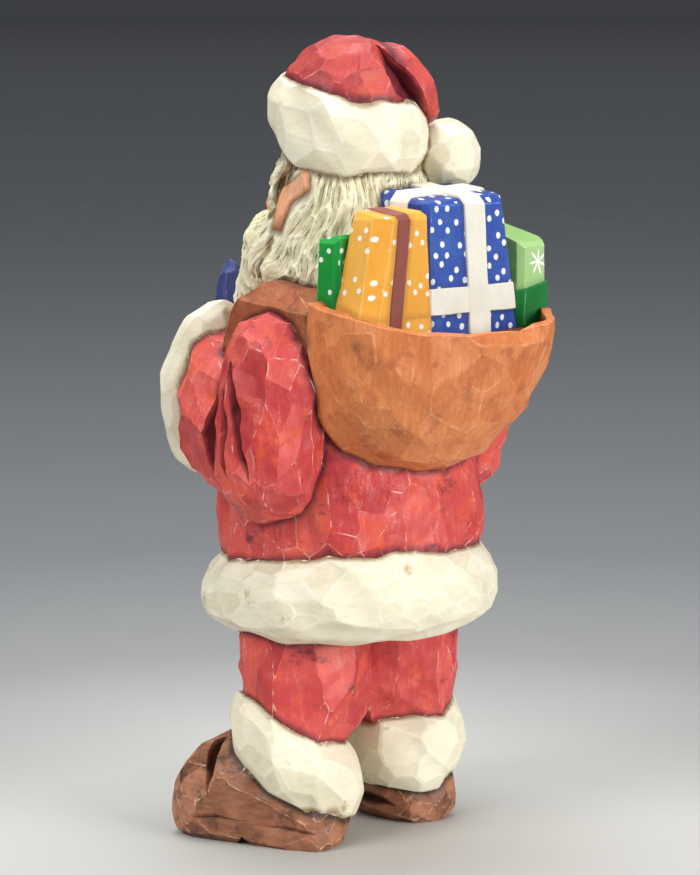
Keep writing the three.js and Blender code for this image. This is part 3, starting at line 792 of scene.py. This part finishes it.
class Shade:
    """One output of a material's node, which takes part in sums."""

    def __init__(self, finish, socket):
        self.finish, self.socket = finish, socket

    def sum(self, operation, *values, clamp=False):
        settings = {"operation": operation, "use_clamp": clamp}
        return self.finish.node("Math", settings, dict(enumerate(values)))

    __add__ = __radd__ = operator("ADD")
    __mul__ = __rmul__ = operator("MULTIPLY")
    __sub__, __rsub__ = operator("SUBTRACT"), operator("SUBTRACT", swapped=True)
    __truediv__, __pow__ = operator("DIVIDE"), operator("POWER")

    def clamped(self):
        return self.sum("ADD", self, 0.0, clamp=True)

    def stepped(self, low, high):
        """0 below low, 1 above high, smooth between."""
        return self.finish.node(
            "MapRange", {"interpolation_type": "SMOOTHSTEP"},
            {"Value": self, "From Min": low, "From Max": high})


def linear(colour):
    """A colour given as it looks, 0 to 255, in the renderer's linear light."""
    return tuple(((c / 255 + 0.055) / 1.055) ** 2.4 if c > 10 else c / 255 / 12.92
                 for c in colour) + (1.0,)


class Finish:
    """A material and its nodes. Colours are given as they look, 0 to 255."""

    def __init__(self, name):
        self.material = bpy.data.materials.new(name)
        self.material.use_nodes = True
        self.tree = self.material.node_tree
        self.tree.nodes.clear()

    def node(self, kind, settings, sockets, output=0):
        made = self.tree.nodes.new("ShaderNode" + kind)
        for key, value in settings.items():
            if key == "stops":
                ramp = made.color_ramp
                for place, _ in value[1:-1]:
                    ramp.elements.new(place)
                for element, (place, colour) in zip(ramp.elements, value):
                    element.position, element.color = place, linear(colour)
            else:
                setattr(made, key, value)
        for key, value in sockets.items():
            if isinstance(value, Shade):
                self.tree.links.new(value.socket, made.inputs[key])
            else:
                made.inputs[key].default_value = value
        return Shade(self, made.outputs[output])

    def mark(self, label, output="Fac"):
        return self.node("Attribute", {"attribute_name": label}, {}, output)

    def where(self):
        return self.node("TexCoord", {}, {}, "Object")

    def vector(self, operation, one, other):
        return self.node("VectorMath", {"operation": operation}, {0: one, 1: other})

    def turned(self, vector, degrees):
        return self.node("VectorRotate", {"rotation_type": "Z_AXIS"},
                         {"Vector": vector, "Angle": math.radians(degrees)})

    def part(self, vector, axis):
        return self.node("SeparateXYZ", {}, {"Vector": vector}, axis)

    def place(self, x=1.0, y=1.0, z=1.0):
        """Millimetres on the figure, stretched by the factors."""
        return self.vector("MULTIPLY", self.where(), (1000 * x, 1000 * y, 1000 * z))

    def noise(self, place, size, detail=3.0, roughness=0.55):
        """Soft noise round 0.5, whose blotches are about size millimetres."""
        return self.node("TexNoise", {},
                         {"Vector": place, "Scale": 1 / size, "Detail": detail,
                          "Roughness": roughness}, "Fac")

    def mixed(self, factor, one, other):
        one, other = (c if isinstance(c, Shade) else linear(c) for c in (one, other))
        return self.node("Mix", {"data_type": "RGBA"}, {0: factor, 6: one, 7: other}, 2)

    def ramp(self, value, stops):
        return self.node("ValToRGB", {"stops": stops}, {"Fac": value}, "Color")

    def bump(self, height, distance):
        """Relief of that many millimetres."""
        return self.node("Bump", {}, {"Height": height, "Distance": distance * 0.001},
                         "Normal")

    def surface(self, colour, roughness, normal, **constants):
        sockets = {"Base Color": colour, "Roughness": roughness, "Normal": normal, **constants}
        shader = self.node("BsdfPrincipled", {}, sockets, "BSDF")
        end = self.tree.nodes.new("ShaderNodeOutputMaterial")
        self.tree.links.new(shader.socket, end.inputs["Surface"])
        return self.material


def painted(name, tones, stain_and_shade, worn, wear=0.8, dry=0.0, faceted=0.5, blotch=0.35,
            streak=(1, 1, 0.25), patch=None, soot=0.0, crevice_shade_and_antiquing=1.0, narrow=1.0, speckle=0.0,
            gloss=0.5, dots=None, star=None):
    """Thin acrylic over carved wood. tones run from dark to light over the facets, as strongly
    as faceted says, and under the brush by blotch, stretched by streak. worn is the paler
    paint, rubbed off along the ridges by wear and dragged over the rest by dry, and patch a
    second colour in clouds. The dark colour after tones goes on as clouds of dirt by soot, and
    as painted shade with some antiquing in the crevices and deep cuts, by the weight after
    soot, closer to the crevices the higher narrow is. speckle is how strong the ochre specks
    are. dots holds the dots' pitch and half width, and the height and gap of their groups, and
    star where a painted flake is and how far it reaches."""
    finish = Finish(name)
    place = finish.place()
    broad = finish.noise(place, 11, 2.0)
    brushed = finish.noise(finish.place(*streak), 1.4, 4.0, 0.65)
    fine = finish.noise(place, 0.55, 3.0, 0.6)
    tone = finish.mark("tone")
    shade = ((tone - 0.5) * faceted + broad * 0.55 + (brushed - 0.5) * blotch + 0.2).clamped()
    colour = finish.ramp(shade, [(i / (len(tones) - 1), one) for i, one in enumerate(tones)])
    if patch:
        cloud = finish.noise(place, 8, 4.0, 0.7).stepped(0.5, 0.66)
        colour = finish.mixed((cloud * (0.3 + brushed * 0.8)).clamped(), colour, patch)
    if dry:
        dragged = (brushed * 0.6 + fine * 0.55).stepped(0.58, 0.74) * broad.stepped(0.4, 0.6)
        colour = finish.mixed((dragged * dry).clamped(), colour, worn)
    if soot:
        cloud = finish.noise(finish.place(1, 1, 1.8), 13, 5.0, 0.7) + (fine - 0.5) * 0.12
        colour = finish.mixed(cloud.stepped(0.58, 0.73) * soot, colour, stain_and_shade)
    if star:
        colour = finish.mixed(starred(finish, *star), colour, WHITE_PAINT)
    if dots:
        colour = finish.mixed(dotted(finish, *dots), colour, WHITE_PAINT)
    # Painted shade, with some antiquing, in the dark colour: close to other forms and deep in
    # the cuts
    crevice = finish.mark("crevice") ** narrow
    uneven = (brushed - 0.5) * 0.7
    shade_and_antiquing = ((crevice - 0.25 + uneven + (fine - 0.5) * 0.5) * 1.3 * crevice_shade_and_antiquing).clamped()
    sunk = finish.mark("sunk")
    shade_and_antiquing = (shade_and_antiquing ** 1.3 * 0.85 + sunk.stepped(0.0, 0.55) * 0.75).clamped()
    colour = finish.mixed(shade_and_antiquing, colour, stain_and_shade)
    ridge = finish.mark("ridge")
    broken = finish.noise(place, 3.6, 4.0, 0.65).stepped(0.48, 0.6)
    rubbed = (ridge * broken * (0.2 + fine * 1.3) * wear).clamped()
    colour = finish.mixed(rubbed, colour, worn)
    if speckle:
        spots = finish.node("TexVoronoi", {}, {"Vector": place, "Scale": 0.07})
        ragged = (finish.noise(place, 2.2, 3.0, 0.6) - 0.5) * 0.5
        spots = 1 - (spots + ragged).stepped(0.0, 0.16)
        colour = finish.mixed((spots * speckle).clamped(), colour, OCHRE_SPECK)
    relief = finish.bump(brushed * 0.7 + fine * 0.3, 0.09)
    rough = (1.0 - gloss) + (brushed - 0.5) * 0.25 + ridge * 0.06
    return finish.surface(colour, rough.clamped(), relief, IOR=1.45)


DOT_SLANT = 41


def dotted(finish, pitch, half, height, gap):
    """1 on the painted dots: a staggered lattice on the wrapping, each dot a little off."""
    lattice = {"Vector": finish.turned(finish.mark("wrap", "Vector"), DOT_SLANT),
               "Scale": 1 / pitch, "Randomness": 0.4}
    off = finish.node("TexVoronoi", {"voronoi_dimensions": "2D"}, lattice)
    centre = finish.node("TexVoronoi", {"voronoi_dimensions": "2D"}, lattice, "Position")
    level = finish.part(finish.turned(centre, -DOT_SLANT), "Y")
    in_group = level.sum("FRACT", level / (height + gap)) * (height + gap)
    blob = finish.noise(finish.place(), 1.1, 1.0)
    dot = 1 - (off * pitch + (blob - 0.5) * 0.4).stepped(half - 0.13, half + 0.13)
    return dot * in_group.stepped(height + 0.01, height) * 0.95


def starred(finish, u, v, reach):
    """1 on a flake of painted strokes round a point of the wrapping."""
    off = finish.vector("SUBTRACT", finish.mark("wrap", "Vector"), (u, v, 0))
    x, y = finish.part(off, "X"), finish.part(off, "Y")
    turn = x.sum("ARCTAN2", y, x)
    away = x.sum("SQRT", x * x + y * y)
    ray = x.sum("ABSOLUTE", x.sum("COSINE", turn * 3.5 + 0.4)) ** 3.0
    uneven = 0.75 + 0.5 * finish.noise(finish.place(), 2.2, 1.0)
    return 1 - (away - (0.5 + ray * reach) * uneven).stepped(-0.15, 0.15)


# The hair: gouges that overlap like flames, cut into the carved forms

def flow(points):
    """Where each point lies on the combed hair: across and down the locks, in millimetres. The
    locks hang straight at the nape and sweep forward past the ears to the beard."""
    turn = np.arctan2(points[:, 0], points[:, 1] + 2)
    forward = smoothstep(0.6, 1.7, np.abs(turn)) * smoothstep(2.9, 2.0, np.abs(turn))
    across = np.abs(turn) * 27 + 0.55 * forward * (points[:, 2] - 195)
    across = across + 1.1 * smooth_noise(points, 17, 21)
    down = points[:, 2] + 1.6 * smooth_noise(points, 11, 22)
    return across, down, np.sign(turn)


def chance_of(phase, spread):
    """Repeatable numbers from 0 to 1."""
    x = np.sin(phase) * spread
    return x - np.floor(x)


def flames(across, down, seed, width, length, depth):
    """Hollows shaped like flames, in staggered columns: how deep each point lies, in mm."""
    deepest = np.zeros(len(across))
    place = across / width
    for step in (-1, 0, 1):
        column = np.floor(place) + step
        scatter = chance_of(column * 12.9898 + seed, 43758.5453)
        row = down / length + 0.5 * (column % 2) + 0.35 * scatter
        v = 2 * (row - np.floor(row)) - 1
        chance = chance_of(column * 78.233 + np.floor(row) * 37.719 + seed, 24634.6345)
        v = np.where(v > 0.2 * chance, (v - 0.2 * chance) / (1 - 0.2 * chance),
                     (v - 0.2 * chance) / (1 + 0.2 * chance))
        half = (1.15 + 0.35 * chance) * np.maximum(1 - v ** 2, 0) ** 0.75
        u = 2 * (place - column - 0.5) + 0.35 * (chance - 0.5)
        dip = np.maximum(1 - (u / np.maximum(half, 0.02)) ** 2, 0)
        dip = depth * (0.7 + 0.45 * chance) * dip * np.maximum(1 - v ** 2, 0) ** 0.4
        deepest = np.maximum(deepest, dip)
    return deepest


def bared(points):
    """How far the hair's broad forms are set back, to lie below the skin of the face."""
    whiskers = forms["hair"][HEAD_OF_HAIR + 1]
    window = (smoothstep(15.5, 13, np.abs(points[:, 0])) * smoothstep(-10, -14, points[:, 1])
              * smoothstep(194.5, 196.5, points[:, 2] + 0.25 * np.abs(points[:, 0])))
    window *= smoothstep(0.9, 0.5, np.abs(whiskers.outside(points)[0]))
    proud = np.min([form.outside(points)[0] for form in forms["face"]], axis=0)
    return window * np.clip(proud + 1.1, 0, 5)


def carve_locks(points, triangles):
    """The hair with its locks cut in, how deep they are, and how it is combed."""
    across, down, side = flow(points)
    large = flames(across, down, 3, 3.0, 14, 1.15)
    small = flames(across + 1.3 * smooth_noise(points, 9, 23), down, 5, 1.5, 8, 0.45)
    fine = np.sin(across * 7 + 2.5 * smooth_noise(points, 6, 24)) * 0.06
    deep = large + small
    to_ear = np.min([form.outside(points)[0] for form in forms["ears"]], axis=0)
    clear = smoothstep(0.2, 3.5, to_ear)
    back = bared(points)
    push = (0.75 - deep - fine) * clear * (back == 0)
    points = (points + [0, 1, 0] * back[:, None]
              + corner_normals(points, triangles) * push[:, None])
    return points, deep * clear, np.column_stack([across * 1.6, down * 0.16, side])


# Painted shadow in the hollow before each ear and along a groove below it that is not carved:
# from where to where, and how far from that line it is full and ends
EAR_SHADOWS = [((20.6, -5, 210), (22.5, -9.5, 196), 2.6, 4.2),
             ((27.5, -6.5, 187.5), (30.5, -10, 178), 0.9, 2.3)]


def ear_shadows(points):
    """1 on the painted shadow, fading to 0 round it."""
    painted_shadow = np.zeros(len(points))
    for side in (1, -1):
        for start, end, full, faint in EAR_SHADOWS:
            start, end = np.array(mirrored(start, side)), np.array(mirrored(end, side))
            along = end - start
            share = np.clip((points - start) @ along / (along @ along), 0, 1)
            gap = np.linalg.norm(points - start - share[:, None] * along, axis=1)
            painted_shadow = np.maximum(painted_shadow, smoothstep(faint, full, gap))
    return painted_shadow


def hair_finish():
    finish = Finish("carved_hair_paint")
    comb = finish.mark("comb", "Vector")
    strand = finish.noise(comb, 0.7, 3.0, 0.7)
    scratch = finish.noise(comb, 1.0, 2.0, 0.6)
    broad = finish.noise(finish.place(), 9, 2.0)
    gouge = finish.mark("gouge")
    shade = (strand * 0.9 + broad * 0.4 - 0.15).clamped()
    colour = finish.ramp(shade, [(0, (232, 219, 170)), (0.35, (248, 240, 200)),
                                 (0.6, (253, 248, 220)), (1, (255, 252, 235))])
    # Painted shade, with some antiquing, deep in the gouges
    hollow = ((gouge - 0.34) * 2.4 * (strand * 2.4 - 0.45)).clamped()
    colour = finish.mixed(hollow * 0.6, colour, finish.mixed(
        broad.stepped(0.42, 0.58), (164, 152, 112), (172, 144, 90)))
    lines = (1 - scratch.stepped(0.37, 0.46)) * (gouge * 1.6 + 0.1).clamped() * 0.8
    colour = finish.mixed(lines, colour, (104, 88, 54))
    # Painted shade, with some antiquing, where the hair meets other forms
    shade_and_antiquing = ((finish.mark("crevice") ** 1.5 - 0.35 + (strand - 0.5)) * 1.2).clamped()
    colour = finish.mixed(shade_and_antiquing, colour, (104, 84, 52))
    # Painted shadow with hatching in the hollow before each ear and along the groove below it
    colour = finish.mixed(finish.mark("sideburn") * 0.95, colour, finish.mixed(
        scratch.stepped(0.44, 0.58), (78, 54, 34), (176, 142, 102)))
    relief = finish.bump(strand, 0.36)
    return finish.surface(colour, (0.55 + strand * 0.3).clamped(), relief, IOR=1.4)


# The paints
WHITE_PAINT = (250, 250, 242)
OCHRE_SPECK = (172, 138, 64)
CREAM = {"tones": [(214, 203, 170), (234, 225, 196), (245, 238, 214), (250, 245, 227)],
         "stain_and_shade": (136, 108, 64), "worn": (253, 250, 240), "wear": 0.5, "crevice_shade_and_antiquing": 1.15,
         "streak": (0.4, 0.4, 1), "blotch": 0.7, "faceted": 0.4, "narrow": 2.2}
trim = painted("cream_trim_paint", **CREAM)
fur = painted("cream_fur_paint", speckle=0.9, **CREAM)
red = painted("red_cloth_paint", [(150, 36, 46), (194, 62, 62), (218, 88, 80), (236, 128, 114)],
              (78, 32, 48), (244, 204, 192), dry=0.2, wear=0.85, patch=(226, 88, 56),
              faceted=0.42, soot=0.8)
hat_red = painted("hat_paint", [(140, 36, 44), (176, 56, 58), (202, 76, 72), (216, 98, 88)],
                  (78, 28, 42), (236, 176, 166), dry=0.12, wear=0.45, faceted=0.4,
                  patch=(210, 88, 62), soot=0.3)
brown = painted("pack_wash", [(176, 90, 46), (206, 118, 64), (222, 138, 82), (230, 154, 106)],
                (84, 42, 28), (240, 194, 154), wear=0.38, streak=(1, 1, 0.16), blotch=0.8,
                dry=0.25, patch=(176, 94, 54), faceted=0.3, soot=0.3)
strap_brown = painted("strap_wash", [(124, 62, 38), (168, 92, 58), (194, 118, 76)],
                      (62, 32, 22), (214, 160, 124), wear=0.5, streak=(1, 0.4, 1), blotch=1.0,
                      dry=0.25, patch=(120, 62, 40))
leather = painted("boot_stain", [(94, 57, 40), (144, 91, 64), (178, 119, 88), (200, 146, 113)],
                  (40, 24, 17), (220, 186, 160), wear=1.1, streak=(0.3, 0.3, 1), blotch=0.9,
                  patch=(72, 44, 32), crevice_shade_and_antiquing=1.2, soot=0.75)
violet = painted("blue_violet_paint", [(48, 52, 104), (66, 72, 132), (84, 90, 152)],
                 (28, 26, 52), (150, 150, 196), soot=0.4)
skin = painted("skin_paint", [(224, 150, 108), (240, 172, 128), (247, 192, 152)],
               (132, 72, 46), (248, 210, 180), wear=0.3, blotch=0.25, faceted=0.4, narrow=1.4)
black = painted("eye_paint", [(24, 22, 24), (36, 34, 38)], (10, 10, 12), (70, 66, 70),
                gloss=0.7)
orange = painted("orange_paint", [(222, 144, 42), (238, 170, 62), (248, 192, 92)],
                 (150, 88, 34), (252, 212, 140), wear=0.35, crevice_shade_and_antiquing=0.6, faceted=0.45,
                 dots=(4.2, 0.82, 7, 7.4))
maroon = painted("maroon_paint", [(132, 66, 54), (158, 86, 70), (176, 102, 86)],
                 (80, 36, 30), (216, 160, 140), wear=0.2, crevice_shade_and_antiquing=0.5)
blue = painted("blue_paint", [(24, 50, 130), (38, 72, 160), (66, 102, 184)],
               (18, 28, 76), (140, 170, 218), wear=0.5, crevice_shade_and_antiquing=0.6, patch=(54, 98, 168),
               faceted=0.3, dots=(5.0, 0.95, 9, 0))
cream = painted("ribbon_paint", [(244, 239, 220), (250, 247, 234), (253, 252, 244)],
                (160, 144, 112), (255, 255, 250), wear=0.2, crevice_shade_and_antiquing=0.4)
green = painted("green_paint", [(0, 120, 42), (10, 152, 54), (44, 178, 80)],
                (0, 60, 26), (130, 210, 150), wear=0.15, crevice_shade_and_antiquing=0.6, faceted=0.3,
                dots=(4.2, 0.8, 6.4, 5))
lime = painted("lime_paint", [(130, 174, 94), (156, 198, 122), (184, 214, 156)],
               (58, 100, 44), (212, 234, 188), wear=0.5, crevice_shade_and_antiquing=0.5, faceted=0.4,
               star=(-36.4, 180.8, 3.4))
deep_green = painted("band_paint", [(0, 104, 40), (8, 136, 52), (30, 158, 70)],
                     (0, 60, 26), (130, 200, 150), wear=0.3, crevice_shade_and_antiquing=0.5)

# Per piece: its paint, how wide the worn ridges and the corner facets are and how deep the cuts
# are scooped, in millimetres, and the crease angle in degrees
PIECES = {
    "coat": (red, 0.36, 7.5, 0.25, 6), "trousers": (red, 0.36, 7.5, 0.25, 6),
    "hat": (hat_red, 0.5, 8, 0.15, 9), "hem": (fur, 0.9, 9, 0.12, 11),
    "trouser_cuffs": (fur, 0.8, 7, 0.12, 11), "sleeve_cuffs": (trim, 0.8, 6, 0.12, 11),
    "front_fur": (trim, 0.8, 0, 0.1, 16), "hat_brim": (trim, 1.0, 9, 0.12, 11),
    "pompom": (trim, 0.8, 6, 0.12, 11), "pack": (brown, 0.7, 10, 0.15, 10),
    "straps": (strap_brown, 0.5, 5, 0.15, 9), "boots": (leather, 0.4, 5, 0.3, 6),
    "mittens": (violet, 0.4, 5, 0.2, 6), "face": (skin, 0.5, 3, 0.08, 14),
    "ears": (skin, 0.6, 0, 0.1, 16), "eyes": (black, 0.2, 0, 0, 30),
    "orange_parcel": (orange, 0.4, 0, 0.06, 9), "maroon_ribbon": (maroon, 0.4, 0, 0, 9),
    "blue_parcel": (blue, 0.4, 0, 0.06, 9), "cream_ribbon": (cream, 0.4, 0, 0, 9),
    "green_parcel": (green, 0.4, 0, 0.06, 9), "lime_parcel": (lime, 0.4, 0, 0.06, 9),
    "green_band": (deep_green, 0.4, 0, 0, 9),
}
WAVERING = ("coat", "trousers", "hat", "boots")

carve_coat()
for side in (1, -1):
    carve_leg(side)
    carve_boot(side)
    carve_arm(side)
carve_mittens()
carve_face()
carve_hair()
carve_hat()
carve_pack()
carve_straps()
carve_parcels()

blocks = {}
for piece, group in forms.items():
    worn_off = PIECES[piece][1:3] if piece in PIECES else (0, 0)
    blocks[piece] = [block_of(form, *worn_off) for form in group]

for piece, (finish, _, _, scoop, crease) in PIECES.items():
    points, triangles = refined(*arrays_of(joined(blocks[piece], blades.get(piece, []))))
    marks = marks_of(piece, points, triangles)
    if piece.endswith("parcel"):
        marks["wrap"] = wrap_of(points, triangles)
    push = 0.05 * smooth_noise(points, 8, len(piece)) - scooped(piece, points, scoop)
    points = warped(points + corner_normals(points, triangles) * push[:, None],
                    WAVER if piece in WAVERING else 0)
    points[:, 2] = np.maximum(points[:, 2], 0)
    dressed(piece, points, triangles, marks, finish, crease)

points, triangles = arrays_of(voxelled(joined(blocks["hair"], []), HAIR_GRAIN))
marks = marks_of("hair", points, triangles)
carved, deep, comb = carve_locks(points, triangles)
marks.update(gouge=np.clip(deep / 1.8, 0, 1), sideburn=ear_shadows(points), comb=comb)
dressed("hair", warped(carved), triangles, marks, hair_finish(), HAIR_CREASE)


# The studio, in metres

FLOOR_RADIUS = 40.0
WALL_HEIGHT = 14
NEAR_FLOOR = 6.0


def studio_floor():
    """A round floor with a wall round it, whose colour paints the light: a pale pool round the
    figure that darkens with distance.
    """
    solid = bmesh.new()
    bmesh.ops.create_circle(solid, segments=96, radius=FLOOR_RADIUS, cap_ends=True)
    wall = bmesh.ops.extrude_edge_only(solid, edges=[e for e in solid.edges if e.is_boundary])
    for part in wall["geom"]:
        if isinstance(part, bmesh.types.BMVert):
            part.co.z = WALL_HEIGHT
    floor = object_of(solid, "floor")
    finish = Finish("pale_floor")
    where = finish.where()
    away = finish.node("VectorMath", {"operation": "LENGTH"}, {0: where}, "Value")
    # Painted light: a pale pool round the figure that darkens with distance
    near = finish.ramp((away / NEAR_FLOOR).clamped(), [
        (0.0, (211, 211, 203)), (0.02, (208, 208, 202)), (0.047, (154, 155, 154)),
        (0.087, (121, 123, 125)), (0.143, (109, 112, 115)), (0.233, (103, 107, 111)),
        (0.533, (89, 93, 99)), (1.0, (71, 76, 81))])
    # Painted light far out: darkest at middle distance, lighter again towards the wall
    distant = finish.ramp((away / FLOOR_RADIUS).clamped(), [
        (0.15, (70, 75, 80)), (0.25, (59, 64, 68)), (0.4, (56, 60, 65)),
        (0.55, (61, 64, 69)), (0.7, (74, 76, 81)), (0.83, (88, 91, 96)),
        (0.9, (104, 106, 112)), (1.0, (119, 121, 127))])
    colour = finish.mixed((away / NEAR_FLOOR).stepped(0.98, 1.02), near, distant)
    height = finish.part(where, "Z")
    colour = finish.mixed(height.stepped(-0.01, 0.02), colour, (134, 136, 142))
    place = finish.place()
    relief = finish.bump(finish.noise(place, 3.0), 0.02)
    rough = finish.noise(place, 60) * 0.2 + 0.5
    floor.data.materials.append(finish.surface(colour, rough, relief))


def aimed(obj, target):
    obj.rotation_euler = (target - obj.location).to_track_quat("-Z", "Y").to_euler()


def softbox(name, at, target, size, power):
    light = bpy.data.lights.new(name, "AREA")
    light.shape, light.size, light.energy = "DISK", size, power
    made = shown(name, light)
    made.location = at
    aimed(made, target)


studio_floor()
toward = Vector((0.719, 0.695, 0))
right = Vector((-0.695, 0.719, 0))
centre = Vector((0, 0, 0.12))
softbox("key", toward * 0.9 - right * 1.0 + Vector((0, 0, 1.1)), centre, 0.9, 16)
softbox("fill", toward * 0.9 + right * 1.2 + Vector((0, 0, 0.5)), centre, 1.0, 19.5)
softbox("top", Vector((0, 0, 1.6)) - toward * 0.3, centre, 1.0, 17)
world = bpy.data.worlds.new("studio")
bpy.context.scene.world = world
world.use_nodes = True
world.node_tree.nodes["Background"].inputs["Color"].default_value = (0.97, 0.99, 1, 1)
world.node_tree.nodes["Background"].inputs["Strength"].default_value = 0.4
bpy.context.scene.view_settings.view_transform = "Standard"

# The camera stands behind the figure's left shoulder, as high as its hat. The focal length and
# the height of the picture are in rows of the picture.
FOCAL_ROWS = 3216.4
PICTURE_ROWS = 875
SENSOR = 36
lens = bpy.data.cameras.new("camera")
lens.sensor_fit, lens.sensor_height, lens.sensor_width = "VERTICAL", SENSOR, SENSOR
lens.lens = FOCAL_ROWS * SENSOR / PICTURE_ROWS
lens.clip_start, lens.clip_end = 0.05, 100
camera = shown("camera", lens)
camera.location = (np.array([719, 695, 262]) + SHIFT) * 0.001
aimed(camera, Vector((np.array([0, 0, 124.9]) + SHIFT) * 0.001))
bpy.context.scene.camera = camera
